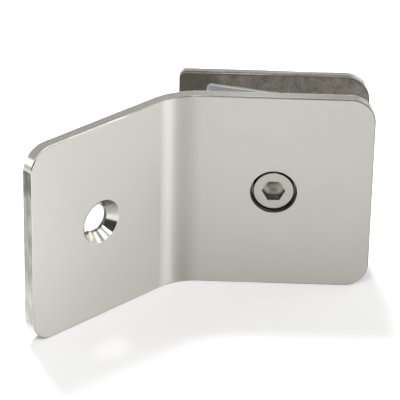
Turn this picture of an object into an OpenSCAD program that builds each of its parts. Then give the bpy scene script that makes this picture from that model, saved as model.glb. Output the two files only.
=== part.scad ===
// Glass clamp. One sheet is folded into two wings. The wall wing takes one countersunk screw.
// The glass wing carries a clamp plate on a cap screw, and a glass panel is held between them,
// on two soft gaskets. Millimetres: X runs along the glass wing, Y through the glass from the
// screw head to the clamp plate, Z along the fold. The origin is the wall hole's centre on the
// face that lies against the wall.

/* [Angle plate] */
// Height of both wings, along the fold
plate_height = 50; // [46:1:70]
// Thickness of the folded sheet
plate_thickness = 3; // [2.5:0.1:4]
// Angle between the front faces of the wings, in degrees
fold_angle = 135; // [120:1:150]
// Radius of the fold on its hollow side
fold_radius = 13; // [6:0.5:15]
// Length of the glass wing, from the line where the two front faces would meet
glass_wing_length = 46.3; // [44:0.1:60]
// Length of the wall wing, from the same line
wall_wing_length = 45; // [38:0.5:60]
// Radius of the corners at the free ends of the wings
corner_radius = 6; // [2:0.5:10]
// Rounding of the sheet's edges
edge_round = 0.3; // [0.2:0.1:1]

/* [Wall hole] */
// Distance of the wall hole from the fold line
wall_hole_from_fold = 24; // [18:0.5:28]
// Diameter of the wall hole
wall_hole_d = 6.8; // [6.5:0.1:8]
// Diameter of the countersink at the front face
countersink_d = 10.6; // [10:0.1:12]
// Full angle of the countersink's cone, in degrees
countersink_angle = 82; // [80:1:100]
// Rounding of the countersink's rim
countersink_rim_round = 0.5; // [0.2:0.1:1]

/* [Clamp screw] */
// Distance of the screw's axis from the fold line
screw_from_fold = 22.9; // [20:0.1:25]
// Thread diameter
thread_d = 6; // [5:0.5:6]
// Length of the screw under its head
screw_length = 8; // [6.5:0.25:8.5]
// Diameter of the head
head_d = 10; // [9:0.1:10.5]
// Height of the head
head_height = 4; // [3.8:0.1:5]
// Rounding of the head's front edge
head_edge_round = 0.2; // [0.1:0.05:0.6]
// Width across the flats of the hexagon socket
socket_width = 5; // [4:0.5:5]
// Depth of the socket's flats
socket_depth = 2.2; // [1.5:0.1:2.5]
// Depth of the cone at the socket's bottom
socket_cone_depth = 0.8; // [0.3:0.1:1.2]
// Chamfer at the screw's tip
tip_chamfer = 0.7; // [0.3:0.1:1]
// Depth of the head below the front face of the wing
head_recess = 0.7; // [0.4:0.1:1]

/* [Head seat] */
// Diameter of the hole in which the head turns
head_hole_d = 11.1; // [10.8:0.1:12]
// Chamfer at the rim of that hole
head_hole_chamfer = 0.1; // [0.1:0.05:0.5]
// Wall of the seat round the head
seat_wall = 2; // [1.5:0.1:2.5]
// Floor of the seat under the head
seat_floor = 1.5; // [1:0.1:2]

/* [Clamp plate] */
// Length of the clamp plate, along the glass wing
clamp_plate_length = 45.4; // [42:0.1:46]
// Thickness of the clamp plate
clamp_plate_thickness = 3; // [2.5:0.1:4]
// How far its free end stays short of the glass wing's free end
clamp_plate_inset = 1.2; // [0:0.1:3]
// Radius of its two corners beside the fold
fold_side_corner_radius = 1.5; // [1:0.1:3]
// Diameter of the threaded boss
boss_d = 13; // [10:0.5:15]
// Chamfer at the boss's free edge
boss_chamfer = 0.5; // [0.2:0.1:1]

/* [Gaskets] */
// Width of a gasket, along the glass wing
gasket_width = 38; // [30:0.5:40]
// Height of a gasket
gasket_height = 41; // [32:0.5:43]
// Thickness of a gasket
gasket_thickness = 1; // [0.8:0.1:2]
// Radius of a gasket's corners
gasket_corner_radius = 1; // [0.5:0.5:6]
// Turn of the loose rear gasket about the screw, in degrees
rear_gasket_turn = 7; // [0:1:10]

/* [Fits and travel] */
// Space for the glass between the gaskets, as stored
glass_gap = 7; // [6:0.5:10]
// How far the clamp plate can still close from there
closing_travel = 1; // [0.5:0.1:1.5]
// Space left between the boss and the seat when closed
boss_clearance = 0.75; // [0.3:0.05:1.5]
// Space left in front of the screw's tip when closed
tip_clearance = 0.4; // [0.2:0.1:0.6]
// Radial clearance of the screw in its thread
thread_clearance = 0.05; // [0.02:0.01:0.1]
// Radial clearance of the shank in the seat's floor
shank_clearance = 0.3; // [0.1:0.1:0.5]
// Clearance under the head
head_clearance = 0.05; // [0.02:0.01:0.1]
// Radial clearance of the gaskets round the seat
gasket_hole_clearance = 0.4; // [0.2:0.1:1]

/* [Hidden] */
$fn = 96;
// Overrun of a cutting body past the face that it opens
cut = 1;

// The fold: its turn, and the length of each wing that the curve takes up
fold_turn = 180 - fold_angle;
fold_tangent = fold_radius * tan(fold_turn / 2);
// Each wing's share of the fold runs this many degrees past the middle before it is cut off there
fold_overrun = 10;
// Longer than any piece of the plate
plate_reach = glass_wing_length + wall_wing_length + plate_height;

// Places along the screw's axis, counted from the front face of the glass wing
seat_face_y = head_recess + head_height + head_clearance;
seat_end_y = seat_face_y + seat_floor;
clamp_face_y = plate_thickness + 2 * gasket_thickness + glass_gap;
boss_end_y = seat_end_y + closing_travel + boss_clearance;
screw_tip_y = head_recess + head_height + screw_length;
thread_bottom_y = screw_tip_y + closing_travel + tip_clearance;

seat_d = head_hole_d + 2 * seat_wall;
thread_hole_d = thread_d + 2 * thread_clearance;
gasket_hole_d = seat_d + 2 * gasket_hole_clearance;

// The countersink: its depth, and its rim's round from where it leaves the face and the cone
countersink_half = countersink_angle / 2;
countersink_depth = (countersink_d - wall_hole_d) / 2 / tan(countersink_half);
rim_tangent = countersink_rim_round * tan((90 - countersink_half) / 2);

// Moves the fold line's frame so that the wall hole's centre on the wall face is the origin
module in_part_frame() {
    translate([-wall_hole_from_fold * cos(fold_angle) + plate_thickness * sin(fold_angle),
               wall_hole_from_fold * sin(fold_angle) + plate_thickness * cos(fold_angle), 0])
        children();
}

// Stands a turned piece on the screw's axis, with its own Z pointing through the glass
module on_screw_axis(y) {
    translate([screw_from_fold, y, 0]) rotate([-90, 0, 0]) children();
}

// Section across a strip of sheet: all four edges rounded
module strip_section(thickness) {
    translate([edge_round, -plate_height / 2])
        square([thickness - 2 * edge_round, plate_height]);
    translate([0, edge_round - plate_height / 2])
        square([thickness, plate_height - 2 * edge_round]);
    for (x = [edge_round, thickness - edge_round], side = [-1, 1])
        translate([x, side * (plate_height / 2 - edge_round)]) circle(edge_round);
}

// Section from the inside of a sheet out to its free edge, which is rounded
module edge_section(width, thickness) {
    square([width - edge_round, thickness]);
    translate([0, edge_round]) square([width, thickness - 2 * edge_round]);
    for (y = [edge_round, thickness - edge_round]) translate([width - edge_round, y]) circle(edge_round);
}

// Straight strip of sheet along X
module strip(length, thickness) {
    rotate([90, 0, 90]) linear_extrude(length) strip_section(thickness);
}

// Free end of a sheet: a straight edge between two round corners, running out along X
module sheet_end(radius, thickness) {
    straight = plate_height - 2 * radius;
    translate([0, 0, -straight / 2]) linear_extrude(straight) edge_section(radius, thickness);
    for (flip = [0, 1]) mirror([0, 0, flip]) translate([0, 0, -straight / 2])
        rotate([-90, 0, 0]) rotate_extrude(angle = 90) edge_section(radius, thickness);
}

// One wing with more than half of the fold, in a frame on the fold's axis: the wing starts at X = 0
module wing(length) {
    flat = length - fold_tangent - corner_radius;
    translate([0, fold_radius, 0]) {
        strip(flat, plate_thickness);
        translate([flat, 0, 0]) sheet_end(corner_radius, plate_thickness);
    }
    rotate([0, 0, 90]) rotate_extrude(angle = fold_turn / 2 + fold_overrun)
        translate([fold_radius, 0]) strip_section(plate_thickness);
}

// Turns a wing so that the middle of the fold lies on X = 0, and cuts it off there
module half_of_fold() {
    intersection() {
        rotate([0, 0, -fold_turn / 2]) children();
        translate([0, -plate_reach, -plate_reach]) cube(2 * plate_reach);
    }
}

// Cutter for the wall hole, on its own axis from the front face inwards
module wall_hole_cut() {
    rim_r = countersink_d / 2;
    cone_rim = [rim_r - rim_tangent * sin(countersink_half), rim_tangent * cos(countersink_half)];
    rim_centre = [rim_r + rim_tangent, countersink_rim_round];
    translate([0, 0, -cut]) cylinder(d = wall_hole_d, h = plate_thickness + 2 * cut);
    rotate_extrude() {
        polygon([[0, -cut], [rim_r, -cut], [rim_r, 0], [wall_hole_d / 2, countersink_depth],
                 [0, countersink_depth]]);
        difference() {
            polygon([[rim_r, -cut], [rim_centre.x, -cut], rim_centre, cone_rim, [rim_r, 0]]);
            translate(rim_centre) circle(countersink_rim_round);
        }
    }
}

module head_hole_cut() {
    translate([0, 0, -cut]) cylinder(d = head_hole_d, h = plate_thickness + 2 * cut);
    cylinder(d1 = head_hole_d + 2 * head_hole_chamfer, d2 = head_hole_d, h = head_hole_chamfer);
}

module glass_wing() {
    difference() {
        wing(glass_wing_length);
        translate([screw_from_fold - fold_tangent, fold_radius, 0]) rotate([-90, 0, 0]) head_hole_cut();
    }
}

module wall_wing() {
    difference() {
        wing(wall_wing_length);
        translate([wall_hole_from_fold - fold_tangent, fold_radius, 0]) rotate([-90, 0, 0]) wall_hole_cut();
    }
}

module angle_plate() {
    color("#c9c6be") in_part_frame()
        translate([fold_tangent, -fold_radius, 0]) rotate([0, 0, fold_turn / 2]) {
            half_of_fold() glass_wing();
            mirror([1, 0, 0]) half_of_fold() wall_wing();
        }
}

// Turned cup on the back of the glass wing, which carries the screw's head
module head_seat() {
    depth = seat_face_y - plate_thickness;
    color("#b5b2aa") in_part_frame() on_screw_axis(plate_thickness) difference() {
        cylinder(d = seat_d, h = depth + seat_floor);
        translate([0, 0, -cut]) cylinder(d = head_hole_d, h = depth + cut);
        cylinder(d = thread_d + 2 * shank_clearance, h = depth + seat_floor + cut);
    }
}

module gasket() {
    straight_width = gasket_width - 2 * gasket_corner_radius;
    straight_height = gasket_height - 2 * gasket_corner_radius;
    linear_extrude(gasket_thickness) difference() {
        union() {
            square([gasket_width, straight_height], center = true);
            square([straight_width, gasket_height], center = true);
            for (x = [-1, 1], y = [-1, 1])
                translate([x * straight_width / 2, y * straight_height / 2]) circle(gasket_corner_radius);
        }
        circle(d = gasket_hole_d);
    }
}

module front_gasket() {
    color("#d5dde0") in_part_frame() on_screw_axis(plate_thickness) gasket();
}

module rear_gasket() {
    color("#d5dde0") in_part_frame() on_screw_axis(clamp_face_y - gasket_thickness)
        rotate([0, 0, rear_gasket_turn]) gasket();
}

module clamp_screw() {
    color("#bfbcb4") in_part_frame() on_screw_axis(head_recess) difference() {
        union() {
            rotate_extrude() {
                square([head_d / 2 - head_edge_round, head_height]);
                translate([0, head_edge_round]) square([head_d / 2, head_height - head_edge_round]);
                translate([head_d / 2 - head_edge_round, head_edge_round]) circle(head_edge_round);
            }
            translate([0, 0, head_height]) cylinder(d = thread_d, h = screw_length - tip_chamfer);
            translate([0, 0, head_height + screw_length - tip_chamfer])
                cylinder(d1 = thread_d, d2 = thread_d - 2 * tip_chamfer, h = tip_chamfer);
        }
        translate([0, 0, -cut]) cylinder(d = socket_width / cos(30), h = socket_depth + cut, $fn = 6);
        translate([0, 0, socket_depth]) cylinder(d1 = socket_width, d2 = 0, h = socket_cone_depth);
    }
}

module clamp_plate() {
    flat = clamp_plate_length - corner_radius - fold_side_corner_radius;
    color("#bdbab2") in_part_frame() difference() {
        translate([glass_wing_length - clamp_plate_inset - corner_radius - flat, clamp_face_y, 0]) {
            strip(flat, clamp_plate_thickness);
            translate([flat, 0, 0]) sheet_end(corner_radius, clamp_plate_thickness);
            mirror([1, 0, 0]) sheet_end(fold_side_corner_radius, clamp_plate_thickness);
        }
        on_screw_axis(boss_end_y) cylinder(d = thread_hole_d, h = thread_bottom_y - boss_end_y);
    }
}

// Tapped bush on the inner face of the clamp plate
module threaded_boss() {
    length = clamp_face_y - boss_end_y;
    color("#a9a69e") in_part_frame() on_screw_axis(boss_end_y) difference() {
        union() {
            cylinder(d1 = boss_d - 2 * boss_chamfer, d2 = boss_d, h = boss_chamfer);
            translate([0, 0, boss_chamfer]) cylinder(d = boss_d, h = length - boss_chamfer);
        }
        translate([0, 0, -cut]) cylinder(d = thread_hole_d, h = length + 2 * cut);
    }
}

angle_plate();
head_seat();
front_gasket();
clamp_screw();
clamp_plate();
threaded_boss();
rear_gasket();
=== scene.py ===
from math import cos, pi, radians, sin

import bmesh
import bpy
from mathutils import Matrix, Vector


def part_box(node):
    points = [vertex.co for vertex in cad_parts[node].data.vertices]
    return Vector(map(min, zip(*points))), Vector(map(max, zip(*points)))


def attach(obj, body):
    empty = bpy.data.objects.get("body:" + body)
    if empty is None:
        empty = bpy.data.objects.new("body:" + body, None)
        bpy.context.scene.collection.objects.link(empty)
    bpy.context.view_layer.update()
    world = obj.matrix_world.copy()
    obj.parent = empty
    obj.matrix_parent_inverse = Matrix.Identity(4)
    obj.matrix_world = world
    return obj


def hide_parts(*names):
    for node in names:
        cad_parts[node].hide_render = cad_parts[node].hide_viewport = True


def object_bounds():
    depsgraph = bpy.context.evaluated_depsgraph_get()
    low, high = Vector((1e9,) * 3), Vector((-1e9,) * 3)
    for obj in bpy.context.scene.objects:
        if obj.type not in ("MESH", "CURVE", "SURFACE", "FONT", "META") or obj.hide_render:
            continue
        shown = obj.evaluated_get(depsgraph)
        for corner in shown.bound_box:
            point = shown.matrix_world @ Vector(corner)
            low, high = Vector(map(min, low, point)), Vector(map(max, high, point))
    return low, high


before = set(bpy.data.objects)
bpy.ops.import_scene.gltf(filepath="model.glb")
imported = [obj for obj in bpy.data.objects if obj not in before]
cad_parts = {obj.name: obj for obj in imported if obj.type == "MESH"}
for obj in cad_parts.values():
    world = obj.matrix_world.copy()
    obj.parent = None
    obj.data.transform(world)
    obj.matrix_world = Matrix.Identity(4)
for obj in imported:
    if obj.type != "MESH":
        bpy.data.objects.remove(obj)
cad_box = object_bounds()

# Angle plate: one piece of 3 mm stainless sheet, folded over a wide radius into two wings. The faces
# have a fine satin grain along the sheet, the cut edges are ground bright between blunt matt lips, and
# the wall wing has one polished countersunk hole.
mm = 0.001
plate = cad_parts["angle_plate"]
plate_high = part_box("angle_plate")[1]
screw_low, screw_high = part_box("clamp_screw")
screw_axis = (screw_low + screw_high) / 2
screw_way = Vector((0, 1, 0))
sheet_thickness = 3.0 * mm
edge_round = 0.3 * mm
corner_radius = 6.0 * mm
fold_axis = Vector((24.477, 1.849, 0)) * mm
fold_middle = radians(112.5)
fold_out = Vector((cos(fold_middle), sin(fold_middle), 0))
fold_across = Vector((fold_out.y, -fold_out.x, 0))
fold_radius = 13.0 * mm
half_bend = radians(22.5)
wall_wing_run = Vector((-1, -1, 0)).normalized()
wall_wing_from_hole = 21.0 * mm
wall_hole_axis = Vector((1, -1, 0)).normalized()
wall_bore = 3.42 * mm
countersink_radius = 5.6 * mm
head_bore = 5.56 * mm
mask_blend = 0.1 * mm
bore_blend = 0.06 * mm

satin_dark = (0.532, 0.516, 0.480, 1)
satin_light = (0.572, 0.555, 0.517, 1)
ground_light = (0.53, 0.517, 0.48, 1)
ground_painted_shade = (0.40, 0.388, 0.355, 1)
lip_painted_shade = (0.29, 0.279, 0.25, 1)
sheared_and_shade_dark = (0.10, 0.097, 0.085, 1)
bore_painted_shade = (0.075, 0.068, 0.055, 1)
satin_roughness = 0.42
edge_roughness = 0.12
lip_roughness = 0.48
countersink_roughness = 0.16
satin_stretch = {"Anisotropic": 0.96, "Anisotropic_Rotation": 0.25}
grain_scale, grain_change, grain_depth = (60, 60, 9000), 0.05, 0.0004 * mm
cloud_scale, cloud_change = (45, 45, 60), 0.03
ripple_scale, ripple_depth = (260, 260, 110), 0.02 * mm

# Where the plate's finish changes, and where shade is painted on it: along the glass wing, round the
# screw, up the plate, and past the start of a corner.
edge_shade_run = (22 * mm, 60 * mm)
bend_eases, ease_depth = (22.0 * mm, 29.5 * mm), 0.28 * mm
hole_rim = (6.5 * mm, 7.0 * mm)
lip_shade_run, lip_shade_rise = (17 * mm, 23 * mm), (14 * mm, 20 * mm)
end_lip_polished = (3.0 * mm, 5.0 * mm)
countersink_shade_rise, countersink_shade = (0.5 * mm, 4.0 * mm), 0.72
shear_scale, shear_contrast, shear_base = (900, 900, 250), 0.9, 0.34
end_shade_middle, end_shade_middle_more = (-16 * mm, -2 * mm), 0.26
end_shade_top, end_shade_top_more = (11 * mm, 16 * mm), 0.34
shear_begins = (corner_radius - 0.12 * mm, corner_radius - 0.06 * mm)


class Field:
    """A socket in a node tree. Sums, differences and products of fields add Math nodes."""

    def __init__(self, socket):
        self.socket = socket
        self.tree = socket.id_data

    def node(self, kind, settings=None, sockets=None, output=0):
        """Adds a node: its settings first, then the value or field of each socket."""
        made = self.tree.nodes.new(kind)
        for name, value in (settings or {}).items():
            setattr(made, name, value)
        for name, value in (sockets or {}).items():
            if isinstance(value, Field):
                self.tree.links.new(value.socket, made.inputs[name])
            else:
                made.inputs[name].default_value = value
        return Field(made.outputs[output])

    def math(self, operation, *values):
        return self.node("ShaderNodeMath", {"operation": operation}, dict(enumerate(values)))

    def vector_math(self, operation, *values, output=0):
        sockets = dict(enumerate(values))
        return self.node("ShaderNodeVectorMath", {"operation": operation}, sockets, output)

    def __add__(self, other):
        return self.math("ADD", self, other)

    def __sub__(self, other):
        return self.math("SUBTRACT", self, other)

    def __rsub__(self, other):
        return self.math("SUBTRACT", other, self)

    def __mul__(self, other):
        return self.math("MULTIPLY", self, other)

    def __truediv__(self, other):
        return self.math("DIVIDE", self, other)

    __radd__ = __add__
    __rmul__ = __mul__

    def __abs__(self):
        return self.math("ABSOLUTE", self)

    def most(self, other):
        return self.math("MAXIMUM", self, other)

    def least(self, other):
        return self.math("MINIMUM", self, other)

    def part(self, axis):
        """One coordinate of a vector field."""
        return self.node("ShaderNodeSeparateXYZ", None, {0: self}, axis)

    def along(self, direction):
        """How far the point lies along a direction."""
        return self.vector_math("DOT_PRODUCT", self, direction, output=1)

    def from_axis(self, centre, direction):
        """Distance of the point from a line."""
        arm = self.vector_math("SUBTRACT", self, centre)
        return self.vector_math("LENGTH", self.vector_math("CROSS_PRODUCT", arm, direction), output=1)

    def step(self, low, high):
        """0 below low, 1 above high, and smooth between them."""
        settings = {"interpolation_type": "SMOOTHSTEP"}
        return self.node("ShaderNodeMapRange", settings, {0: self, 1: low, 2: high})

    def noise(self, scale, detail=2.0):
        """Noise around 0.5, with its own scale along each axis."""
        spread = self.vector_math("MULTIPLY", self, scale)
        return self.node("ShaderNodeTexNoise", None, {"Vector": spread, "Scale": 1.0, "Detail": detail})

    def mix(self, first, second):
        """Colour that is first where the field is 0 and second where it is 1."""
        return self.node("ShaderNodeMix", {"data_type": "RGBA"}, {0: self, 6: first, 7: second}, 2)

    def turned_to(self, other, share):
        """The field itself where share is 0, and other where it is 1."""
        return self + (other - self) * share

    def bump(self):
        """Normal of a surface that the field raises, in metres."""
        return self.node("ShaderNodeBump", None, {"Height": self, "Distance": 1.0})


def start_material(name, **constants):
    """A material with its constant sockets set. Returns it, its shader and the Object coordinates."""
    made = bpy.data.materials.new(name)
    made.use_nodes = True
    shader = made.node_tree.nodes["Principled BSDF"]
    for socket, value in constants.items():
        shader.inputs[socket.replace("_", " ")].default_value = value
    coordinates = made.node_tree.nodes.new("ShaderNodeTexCoord")
    return made, shader, Field(coordinates.outputs["Object"])


def feed(shader, **fields):
    """Links fields to the shader's sockets."""
    for socket, field in fields.items():
        field.tree.links.new(field.socket, shader.inputs[socket.replace("_", " ")])


def rounded_edge(run, height):
    """1 on a sheet's edge. run counts from where the free end's corners begin."""
    out = run.most(0.0)
    up = (height - (plate_high.z - corner_radius)).most(0.0)
    reach = out.math("SQRT", out * out + up * up)
    return reach.step(corner_radius - edge_round, corner_radius - 0.7 * edge_round)


def blunt_lip(edge, depth):
    """1 on the two lips of a sheet's edge. depth counts from one of its faces."""
    half = sheet_thickness / 2
    return edge * abs(depth - half).step(half - 1.2 * edge_round, half - 1.05 * edge_round)


def edge_finish(satin, edge, lip):
    """Roughness that is satin on a sheet's faces, polished on its edge and matt on the lips."""
    return satin.turned_to(edge_roughness + (lip_roughness - edge_roughness) * lip, edge)


def sheet_depth(place):
    """How deep the point lies in the folded sheet, from its hollow side."""
    arm = place.vector_math("SUBTRACT", place, fold_axis)
    turn = place.math("ARCTAN2", arm.along(fold_across), arm.along(fold_out))
    slant = turn - turn.least(half_bend).most(-half_bend)
    return place.from_axis(fold_axis, (0, 0, 1)) * slant.math("COSINE", slant) - fold_radius


def satin_steel(name):
    """Satin stainless with a grain along the sheet, polished edges and countersink, and painted shade."""
    made, shader, place = start_material(name, **satin_stretch)
    run, height = place.part(0), place.part(2)
    wall_run = place.along(wall_wing_run) - (wall_wing_from_hole - corner_radius)
    glass_run = run - (plate_high.x - corner_radius)
    edge = rounded_edge(wall_run.most(glass_run), abs(height))
    depth = sheet_depth(place)
    lip = blunt_lip(edge, depth)
    from_screw = place.from_axis(screw_axis, screw_way)
    from_hole = place.from_axis((0, 0, 0), wall_hole_axis)
    cone = 1 - from_hole.step(countersink_radius - mask_blend, countersink_radius)
    cone = cone * place.along(wall_hole_axis).step(mask_blend, 2 * mask_blend)
    # Painted shade: the walls of the holes are dark and not metallic.
    bore = 1 - from_screw.step(head_bore, head_bore + bore_blend)
    bore = bore.most(1 - from_hole.step(wall_bore, wall_bore + bore_blend))

    grain = place.noise(grain_scale, 3.0)
    cloud = place.noise(cloud_scale, 3.0)
    satin = satin_roughness + (grain - 0.5) * grain_change + (cloud - 0.5) * cloud_change
    satin = edge_finish(satin, edge, lip * (1 - wall_run.step(*end_lip_polished)))
    face = (cloud * 0.6 + grain * 0.4).mix(satin_dark, satin_light)
    # Painted shade: the ground edges are darker along the glass wing than on the wall wing.
    colour = edge.mix(face, run.step(*edge_shade_run).mix(ground_light, ground_painted_shade))
    # Painted shade: the lips of the upper edges along the glass wing are darkened.
    colour = (lip * run.step(*lip_shade_run) * height.step(*lip_shade_rise)).mix(colour, lip_painted_shade)

    # The wall wing's end face: shear streaks, and painted shade that darkens it towards its top.
    streak_and_shade = (place.noise(shear_scale, 4.0) - 0.5) * shear_contrast + shear_base
    streak_and_shade = streak_and_shade + height.step(*end_shade_middle) * end_shade_middle_more
    streak_and_shade = streak_and_shade + height.step(*end_shade_top) * end_shade_top_more
    sheared_and_shade = wall_run.step(*shear_begins) * streak_and_shade.most(0.0)
    # Painted shade: the upper part of the countersink is darkened with the same dark colour.
    shears_and_shade = sheared_and_shade.most(cone * height.step(*countersink_shade_rise) * countersink_shade)

    ripple = place.noise(ripple_scale)
    relief = grain * (1 - edge) * grain_depth + ripple * edge.most(cone) * ripple_depth
    # The bend runs out slowly into the glass wing, so both of its faces are eased there.
    front = (1 - depth / edge_round).most(1 - from_screw.step(*hole_rim))
    back = (1 - (sheet_thickness - depth) / edge_round).most(0.0)
    ease = (back - front) * run.step(*bend_eases)
    feed(
        shader,
        Base_Color=bore.mix(shears_and_shade.mix(colour, sheared_and_shade_dark), bore_painted_shade),
        Roughness=satin.turned_to(countersink_roughness, cone),
        Metallic=1 - bore,
        Normal=(relief + ease * ease_depth).bump(),
    )
    return made


plate.data.materials[0] = satin_steel("satin_steel")

# Head seat: a turned steel cup behind the glass wing, welded round the hole. The screw's head turns
# in it and pulls against its floor.
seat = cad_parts["head_seat"]
turned_dark = (0.30, 0.292, 0.268, 1)
turned_light = (0.44, 0.43, 0.40, 1)
turned_roughness, turned_roughness_change = 0.38, 0.15
tool_mark_scale, tool_mark_depth = (9000, 9000, 1), 0.01 * mm
turned_cloud_scale = (300, 300, 300)


def turned_steel(name):
    """Plain turned steel with fine tool marks round the screw's axis."""
    made, shader, place = start_material(name, Metallic=1.0)
    radius = place.from_axis(screw_axis, screw_way)
    across = place.node("ShaderNodeCombineXYZ", None, {0: radius, 1: place.part(1)})
    marks = across.noise(tool_mark_scale)
    cloud = place.noise(turned_cloud_scale)
    feed(
        shader,
        Base_Color=(marks * 0.5 + cloud * 0.5).mix(turned_dark, turned_light),
        Roughness=turned_roughness + (marks - 0.5) * turned_roughness_change,
        Normal=(marks * tool_mark_depth).bump(),
    )
    return made


seat.data.materials[0] = turned_steel("turned_steel")

# Front gasket: a 1 mm sheet of soft clear vinyl, stamped out with a hole for the head seat. It keeps
# the glass off the wing, and its cut edges are paler than its faces.
gasket_low, gasket_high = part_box("front_gasket")
seat_low, seat_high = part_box("head_seat")
gasket_corner = 1.0 * mm
gasket_corner_steps = 10
gasket_lip = 0.18 * mm
gasket_rim = 0.5 * mm
gasket_hole_clearance = 0.4 * mm
gasket_stretch = 2.5 * mm
vinyl_dark = (0.40, 0.412, 0.415, 1)
vinyl_light = (0.49, 0.502, 0.504, 1)
vinyl_cut = (0.66, 0.665, 0.66, 1)
vinyl_roughness, vinyl_roughness_change = 0.32, 0.2
vinyl_cloud_scale = (160, 160, 160)
vinyl_grain_scale, vinyl_grain_depth = (2500, 2500, 2500), 0.01 * mm


def subdivided(points, stretch):
    """The closed line through points, its long sides cut into parts about one stretch long."""
    line = []
    for here, there in zip(points, points[1:] + points[:1]):
        parts = max(1, round((there - here).length / stretch))
        line += [here.lerp(there, part / parts) for part in range(parts)]
    return line


def gasket_outline(inset):
    """Points round the gasket's edge, in its own plane."""
    half_x = (gasket_high.x - gasket_low.x) / 2 - gasket_corner
    half_z = (gasket_high.z - gasket_low.z) / 2 - gasket_corner
    radius = gasket_corner - inset
    points = []
    for quarter, (side, level) in enumerate(((1, 1), (-1, 1), (-1, -1), (1, -1))):
        for step in range(gasket_corner_steps + 1):
            turn = pi / 2 * (quarter + step / gasket_corner_steps)
            points.append(Vector((side * half_x + radius * cos(turn), level * half_z + radius * sin(turn))))
    return subdivided(points, gasket_stretch)


def skin(shape, rings):
    """Faces between each ring of corners and the next."""
    for ring, following in zip(rings, rings[1:]):
        for i in range(len(ring)):
            j = (i + 1) % len(ring)
            shape.faces.new((ring[i], ring[j], following[j], following[i]))


def finish_mesh(shape, name, sharp=40):
    """Turns the bmesh into an object, smooth but for edges sharper than the given angle."""
    bmesh.ops.recalc_face_normals(shape, faces=shape.faces)
    mesh = bpy.data.meshes.new(name)
    shape.to_mesh(mesh)
    shape.free()
    mesh.shade_smooth()
    mesh.set_sharp_from_angle(angle=radians(sharp))
    made = bpy.data.objects.new(name, mesh)
    bpy.context.collection.objects.link(made)
    return made


def gasket_mesh(name, back_y, turn):
    """A stamped sheet with slightly rounded edges, turned about the screw's axis."""
    thickness = gasket_high.y - gasket_low.y
    hole = (seat_high.x - seat_low.x) / 2 + gasket_hole_clearance
    section = ((gasket_rim, 0), (gasket_lip, 0), (0, gasket_lip), (0, thickness - gasket_lip),
               (gasket_lip, thickness), (gasket_rim, thickness))
    place = Matrix.Translation((screw_axis.x, back_y, screw_axis.z)) @ Matrix.Rotation(turn, 4, "Y")
    shape = bmesh.new()
    cut = shape.verts.layers.float.new("cut")

    def ring(points, inset, depth):
        """One row of corners, marked where it belongs to a cut edge."""
        made = [shape.verts.new(place @ Vector((p.x, depth, p.y))) for p in points]
        for vertex in made:
            vertex[cut] = float(inset < gasket_rim)
        return made

    outline = gasket_outline(0)
    rings = [ring(gasket_outline(inset), inset, depth) for inset, depth in section]
    for inset, depth in reversed(section):
        rings.append(ring([p.normalized() * (hole + inset) for p in outline], inset, depth))
    skin(shape, rings + rings[:1])
    return finish_mesh(shape, name)


def clear_vinyl(name):
    """Soft clear vinyl: pale and bluish, a little cloudy, with a faint moulded grain."""
    made, shader, place = start_material(name, Transmission_Weight=0.25, IOR=1.5)
    cut = place.node("ShaderNodeAttribute", {"attribute_name": "cut"}, None, 2).step(0.5, 1.0)
    cloud = place.noise(vinyl_cloud_scale, 3.0)
    grain = place.noise(vinyl_grain_scale)
    feed(
        shader,
        Base_Color=cut.mix(cloud.mix(vinyl_dark, vinyl_light), vinyl_cut),
        Roughness=vinyl_roughness + (cloud - 0.5) * vinyl_roughness_change,
        Normal=(grain * vinyl_grain_depth).bump(),
    )
    return made


vinyl = clear_vinyl("clear_vinyl")
front_gasket = gasket_mesh("front_gasket_sheet", gasket_low.y, 0.0)
front_gasket.data.materials.append(vinyl)
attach(front_gasket, "bracket")
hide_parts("front_gasket")

# Clamp screw: a stainless cap screw with a hexagon socket and a 6 mm thread. Its head is sunk in the
# glass wing and its thread runs in the boss of the clamp plate.
head_play = 0.18 * mm
head_radius = (screw_high.x - screw_low.x) / 2 - head_play
head_height = 4.0 * mm
head_edge_round = 0.2 * mm
head_round_steps = 6
head_around = 144
head_face_margin = 0.15 * mm
socket_half = 2.42 * mm
socket_depth = 2.2 * mm
socket_cone = 0.8 * mm
socket_lip = 0.08 * mm
thread_crest = 2.97 * mm
thread_core = 2.40 * mm
thread_pitch = 1.0 * mm
thread_length = screw_high.y - screw_low.y - head_height
thread_around = 48
thread_rows_per_turn = 16
thread_flank, thread_root_flat = 1.5, 0.2
tip_chamfer = 0.7 * mm
screw_sharp = 30
face_dark = (0.315, 0.302, 0.274, 1)
face_light = (0.382, 0.367, 0.333, 1)
side_painted_shade = (0.12, 0.115, 0.1, 1)
socket_dark = (0.27, 0.258, 0.23, 1)
socket_light = (0.40, 0.385, 0.35, 1)
socket_painted_shade = (0.05, 0.048, 0.042, 1)
screw_roughness, screw_roughness_change, socket_roughness_more = 0.30, 0.12, 0.1
turning_scale, turning_depth = (7000, 7000, 1), 0.01 * mm
screw_cloud_scale = (700, 700, 700)
socket_reach, socket_begins = (2.9 * mm, 3.0 * mm), (0.05 * mm, 0.2 * mm)
shaded_side_begins = (0.25 * mm, 0.35 * mm)
shade_axis = screw_axis + Vector((-0.5, 0, 0.3)) * mm
centre_shade, centre_shade_reach = 0.55, (0.5 * mm, 1.8 * mm)
lower_wall_shade, lower_wall_top = 0.45, (-2.3 * mm, -1.9 * mm)


def hexagon(turn, half):
    """Distance from the middle to the side of a hexagon with a corner at turn 0."""
    return half / cos(turn % (pi / 3) - pi / 6)


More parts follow.
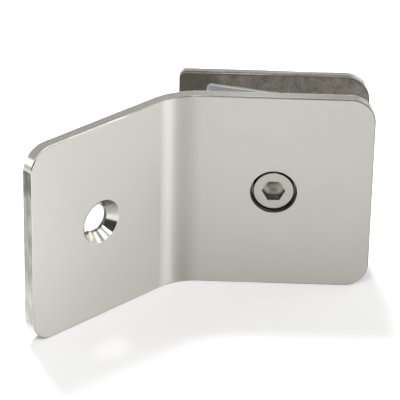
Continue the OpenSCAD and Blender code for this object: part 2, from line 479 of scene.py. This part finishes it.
def head_rows():
    """The head's rows from its underside to the middle of the socket: round radius, hexagon, depth."""
    inner = head_radius - head_edge_round
    rows = [(thread_core, 0, head_height), (head_radius - socket_lip, 0, head_height)]
    rows += [(head_radius, 0, head_height - socket_lip)]
    for step in range(head_round_steps + 1):
        turn = pi / 2 * step / head_round_steps
        rows.append((inner + head_edge_round * cos(turn), 0, head_edge_round * (1 - sin(turn))))
    rows += [(inner - head_face_margin, 0, 0), (0, socket_half + socket_lip * 1.5, 0)]
    rows += [(0, socket_half + socket_lip, 0), (0, socket_half + 0.3 * socket_lip, 0.3 * socket_lip)]
    rows += [(0, socket_half, socket_lip), (0, socket_half, socket_depth)]
    rows += [(socket_half * 0.9, 0, socket_depth), (socket_half * 0.45, 0, socket_depth + socket_cone / 2)]
    return rows


def head_mesh(name):
    """The screw's head, turned and then broached."""
    front = Matrix.Translation((screw_axis.x, screw_low.y, screw_axis.z))
    place = front @ Matrix.Rotation(-pi / 2, 4, "X")
    shape = bmesh.new()
    rings = []
    for round_radius, half, depth in head_rows():
        ring = []
        for i in range(head_around):
            turn = 2 * pi * i / head_around
            radius = hexagon(turn, half) if half else round_radius
            ring.append(shape.verts.new(place @ Vector((radius * cos(turn), radius * sin(turn), depth))))
        rings.append(ring)
    skin(shape, rings)
    middle = shape.verts.new(place @ Vector((0, 0, socket_depth + socket_cone)))
    for i in range(head_around):
        shape.faces.new((rings[-1][i], rings[-1][(i + 1) % head_around], middle))
    return finish_mesh(shape, name, screw_sharp)


def thread_tree(material, sizes):
    """Geometry nodes that add a threaded shank under the head."""
    tree = bpy.data.node_groups.new("threaded_shank", "GeometryNodeTree")
    tree.interface.new_socket("Geometry", in_out="OUTPUT", socket_type="NodeSocketGeometry")
    tree.interface.new_socket("Geometry", in_out="INPUT", socket_type="NodeSocketGeometry")
    for size in sizes:
        tree.interface.new_socket(size, in_out="INPUT", socket_type="NodeSocketFloat")
    given = tree.nodes.new("NodeGroupInput").outputs
    head = Field(given["Geometry"])
    length, pitch, crest, core, chamfer = (Field(given[size]) for size in sizes)
    rows = length / pitch * thread_rows_per_turn
    rod = head.node("GeometryNodeMeshCylinder", {"fill_type": "NGON"},
                    {"Vertices": thread_around, "Side Segments": rows.math("ROUND", rows),
                     "Radius": crest, "Depth": length})
    place = head.node("GeometryNodeInputPosition")
    x, y, z = (place.part(axis) for axis in range(3))
    height = z + length / 2
    turns = place.math("ARCTAN2", y, x) / (2 * pi)
    phase = height.math("FRACT", height / pitch - turns)
    ridge = (abs(phase * 2 - 1) * thread_flank - thread_root_flat).least(1.0).most(0.0)
    radius = (core + (crest - core) * ridge).least(crest - chamfer + (length - height))
    share = radius / crest
    cut = place.node("ShaderNodeCombineXYZ", None, {0: x * share, 1: y * share, 2: z})
    rod = rod.node("GeometryNodeSetPosition", None, {"Geometry": rod, "Position": cut})
    under_head = Vector((screw_axis.x, screw_low.y + head_height + thread_length / 2, screw_axis.z))
    rod = rod.node("GeometryNodeTransform", None,
                   {"Geometry": rod, "Translation": under_head, "Rotation": (-pi / 2, 0, 0)})
    whole = head.node("GeometryNodeJoinGeometry", None, {"Geometry": head})
    tree.links.new(rod.socket, whole.socket.node.inputs["Geometry"])
    whole = whole.node("GeometryNodeRealizeInstances", None, {"Geometry": whole})
    whole = whole.node("GeometryNodeSetMaterial", None, {"Geometry": whole, "Material": material})
    tree.links.new(whole.socket, tree.nodes.new("NodeGroupOutput").inputs["Geometry"])
    return tree


def screw_steel(name):
    """Satin head with turning marks, painted shade on its side, and a socket with painted shade in it."""
    made, shader, place = start_material(name, Metallic=1.0)
    radius = place.from_axis(screw_axis, screw_way)
    depth = place.part(1) - screw_low.y
    marks = place.node("ShaderNodeCombineXYZ", None, {0: radius, 1: depth}).noise(turning_scale)
    tone = marks * 0.4 + place.noise(screw_cloud_scale, 3.0) * 0.6
    inside = (1 - radius.step(*socket_reach)) * depth.step(*socket_begins)
    # Painted shade in the socket: a dark patch a little left of and above its middle, and along its lower
    # wall.
    middle_shade = 1 - place.from_axis(shade_axis, screw_way).step(*centre_shade_reach)
    lower_wall = 1 - place.part(2).step(*lower_wall_top)
    socket_shade = (middle_shade * centre_shade).most(lower_wall * lower_wall_shade)
    socket = socket_shade.mix(tone.mix(socket_dark, socket_light), socket_painted_shade)
    # Painted shade: the head's side, down in the plate's hole, is dark.
    outside = depth.step(*shaded_side_begins).mix(tone.mix(face_dark, face_light), side_painted_shade)
    feed(
        shader,
        Base_Color=inside.mix(outside, socket),
        Roughness=screw_roughness + (marks - 0.5) * screw_roughness_change + inside * socket_roughness_more,
        Normal=(marks * turning_depth).bump(),
    )
    return made


thread_sizes = {"Length": thread_length, "Pitch": thread_pitch, "Crest": thread_crest,
                "Core": thread_core, "Chamfer": tip_chamfer}
screw = head_mesh("cap_screw")
shank = screw.modifiers.new("shank", "NODES")
shank.node_group = thread_tree(screw_steel("screw_steel"), tuple(thread_sizes))
for item in shank.node_group.interface.items_tree:
    if item.in_out == "INPUT" and item.name in thread_sizes:
        shank[item.identifier] = thread_sizes[item.name]
evaluated = screw.evaluated_get(bpy.context.evaluated_depsgraph_get())
whole_screw = bpy.data.meshes.new_from_object(evaluated)
screw.modifiers.clear()
screw.data = whole_screw
whole_screw.set_sharp_from_angle(angle=radians(screw_sharp))
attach(screw, "screw")
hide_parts("clamp_screw")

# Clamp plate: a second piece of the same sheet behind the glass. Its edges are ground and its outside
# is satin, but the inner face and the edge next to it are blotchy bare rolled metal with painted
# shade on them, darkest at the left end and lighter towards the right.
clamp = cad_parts["clamp_plate"]
clamp_low, clamp_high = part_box("clamp_plate")
rolled_and_shade_dark = (0.148, 0.138, 0.115, 1)
rolled_and_shade_light = (0.42, 0.396, 0.345, 1)
rolled_lip_shade = (0.16, 0.15, 0.126, 1)
rolled_roughness = 0.6
rolled_edge, rolled_edge_blend, rolled_edge_waver = 1.3 * mm, 0.4 * mm, 0.5 * mm
rolled_tones = (0.25, 0.8)
blotch_scale, blotch_share = (500, 500, 500), 0.45
crust_scale, crust_share, crust_depth = (2400, 2400, 1500), 0.4, 0.02 * mm
rolled_tone_start, painted_light_rise = -0.21, 2.5
fold_end_shade_ends, fold_end_shade_depth = (0.0, 12 * mm), 0.26


def clamp_steel(name):
    """Satin steel whose inner face and the edge next to it are bare rolled metal with painted shade."""
    made, shader, place = start_material(name, Metallic=1.0, **satin_stretch)
    run, depth = place.part(0) - clamp_low.x, place.part(1) - clamp_low.y
    edge = rounded_edge(place.part(0) - (clamp_high.x - corner_radius), abs(place.part(2)))
    lip = blunt_lip(edge, depth)
    grain = place.noise(grain_scale, 3.0)
    blotch = place.noise(blotch_scale, 6.0)
    crust = place.noise(crust_scale, 3.0)
    reach = depth + (blotch - 0.5) * rolled_edge_waver
    rolled_and_shade = 1 - reach.step(rolled_edge - rolled_edge_blend, rolled_edge + rolled_edge_blend)
    inner_face = 1 - depth.step(0.6 * edge_round, edge_round)
    # Painted shade and light on the inner face: darker at the left end, lighter towards the right.
    tone = blotch * blotch_share + crust * crust_share + run * painted_light_rise
    tone = tone + run.step(*fold_end_shade_ends) * fold_end_shade_depth + rolled_tone_start
    # Painted shade: the lips of the bare edge are darkened.
    bare_and_shade = lip.mix(tone.step(*rolled_tones).mix(rolled_and_shade_dark, rolled_and_shade_light), rolled_lip_shade)
    ground = edge.mix(grain.mix(satin_dark, satin_light), ground_light)
    satin = edge_finish(satin_roughness + (grain - 0.5) * grain_change, edge, lip)
    feed(
        shader,
        Base_Color=rolled_and_shade.mix(ground, bare_and_shade),
        Roughness=satin.turned_to(rolled_roughness, inner_face),
        Normal=(crust * inner_face * crust_depth + grain * grain_depth).bump(),
    )
    return made


clamp.data.materials[0] = clamp_steel("clamp_steel")

# Threaded boss: a turned and tapped bush, welded to the inner face of the clamp plate. The screw
# pulls on it.
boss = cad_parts["threaded_boss"]
boss.data.materials[0] = turned_steel("boss_steel")

# Rear gasket: the same stamped sheet of clear vinyl as the front one, for the other side of the glass.
# It hangs loose on the boss and lies a little askew.
rear_turn = radians(7)
rear_gasket = gasket_mesh("rear_gasket_sheet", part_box("rear_gasket")[0].y, rear_turn)
rear_gasket.data.materials.append(vinyl)
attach(rear_gasket, "clamp")
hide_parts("rear_gasket")

# Floor: a sheet of plain white paper under the clamp, lit by the lamps. It glows a little where it is
# seen directly, in the steel or through the vinyl.
floor_radius = 12.0
floor_sides = 64
paper_white = (0.9, 0.9, 0.9, 1)
paper_roughness = 0.9
paper_glow = 0.04
black, white = (0, 0, 0, 1), (1, 1, 1, 1)
shape = bmesh.new()
bmesh.ops.create_circle(shape, cap_ends=True, segments=floor_sides, radius=floor_radius)
bmesh.ops.translate(shape, verts=shape.verts, vec=(0, 0, cad_box[0].z))
floor = finish_mesh(shape, "floor")
paper, shader, place = start_material(
    "floor_paper", Base_Color=paper_white, Roughness=paper_roughness,
    Specular_IOR_Level=0.0, Emission_Strength=paper_glow)
rays = place.node("ShaderNodeLightPath").socket.node.outputs
seen = Field(rays["Is Camera Ray"])
for ray in ("Is Glossy Ray", "Is Transmission Ray"):
    seen = seen.most(Field(rays[ray]))
feed(shader, Emission_Color=seen.mix(black, white))
floor.data.materials.append(paper)

# Studio: a white sweep round the back and the sides, whitest near the floor and dark in front. A small
# strong box hangs behind the clamp and a wide one above it, a tall one stands on the right, and weaker
# ones fill in from the sides.
sweep_dark = (0.07, 0.07, 0.07, 1)
sweep_white = (1.1, 1.1, 1.1, 1)
low_sweep_ends, low_sweep_share = (0.25, 0.42), 0.45
high_sweep_ends, high_sweep_share = (0.74, 0.9), 0.55
sweep_front = (-0.5, 0.0)
lamps_aim = Vector((20, 14, 0)) * mm
world = bpy.data.worlds.new("studio")
bpy.context.scene.world = world
world.use_nodes = True
sweep = world.node_tree.nodes["Background"]
way = Field(world.node_tree.nodes.new("ShaderNodeTexCoord").outputs["Generated"])
up_part = way.part(2)
lit = (1 - up_part.step(*low_sweep_ends)) * low_sweep_share
lit = lit + (1 - up_part.step(*high_sweep_ends)) * high_sweep_share
lit = lit * way.part(1).step(*sweep_front)
feed(sweep, Color=lit.mix(sweep_dark, sweep_white))


def toward(azimuth, elevation):
    """Direction from the clamp. Azimuth 0 is in front, and 90 on the right."""
    turn, rise = radians(azimuth), radians(elevation)
    return Vector((sin(turn) * cos(rise), -cos(turn) * cos(rise), sin(rise)))


def lamp(name, azimuth, elevation, distance, size, radiance):
    """A soft box that faces the fold."""
    data = bpy.data.lights.new(name, "AREA")
    data.shape = "RECTANGLE"
    data.size, data.size_y = size
    data.energy = radiance * pi * size[0] * size[1]
    back = toward(azimuth, elevation)
    made = bpy.data.objects.new(name, data)
    made.location = lamps_aim + back * distance
    made.rotation_mode = "QUATERNION"
    made.rotation_quaternion = (-back).to_track_quat("-Z", "Y")
    bpy.context.collection.objects.link(made)


lamp("behind", 198, 58, 0.75, (0.2, 0.2), 47.0)
lamp("above", -10, 50, 0.8, (0.5, 0.2), 8.4)
lamp("high", 50, 62, 0.9, (0.4, 0.3), 1.6)
lamp("softbox", 68, 30, 1.1, (0.42, 0.8), 4.5)
lamp("side", 104, 25, 1.0, (0.35, 0.6), 0.4)
lamp("left", 268, 18, 0.8, (0.3, 0.25), 1.45)
lamp("rim", 114, 37, 1.0, (0.4, 0.3), 2.4)

# Camera: a long lens in front of the glass wing, looking down on the clamp. Its place, roll and lens
# were fitted to the plate's edges in the photograph.
camera_target = Vector((24.557, 14.849, -2.682)) * mm
camera_azimuth, camera_elevation = 1.295, 28.630
camera_roll = radians(1.112)
camera_distance = 626.57 * mm
back = toward(camera_azimuth, camera_elevation)
level = (-back).cross(Vector((0, 0, 1))).normalized()
upright = level.cross(-back)
right = cos(camera_roll) * level + sin(camera_roll) * upright
up = cos(camera_roll) * upright - sin(camera_roll) * level
lens = bpy.data.cameras.new("camera")
lens.sensor_width = 36.0
lens.lens = 236.61
lens.clip_end = 2 * floor_radius
camera = bpy.data.objects.new("camera", lens)
stand = Matrix.Translation(camera_target + back * camera_distance)
camera.matrix_world = stand @ Matrix((right, up, back)).transposed().to_4x4()
bpy.context.collection.objects.link(camera)
bpy.context.scene.camera = camera
bpy.context.scene.view_settings.view_transform = "Standard"
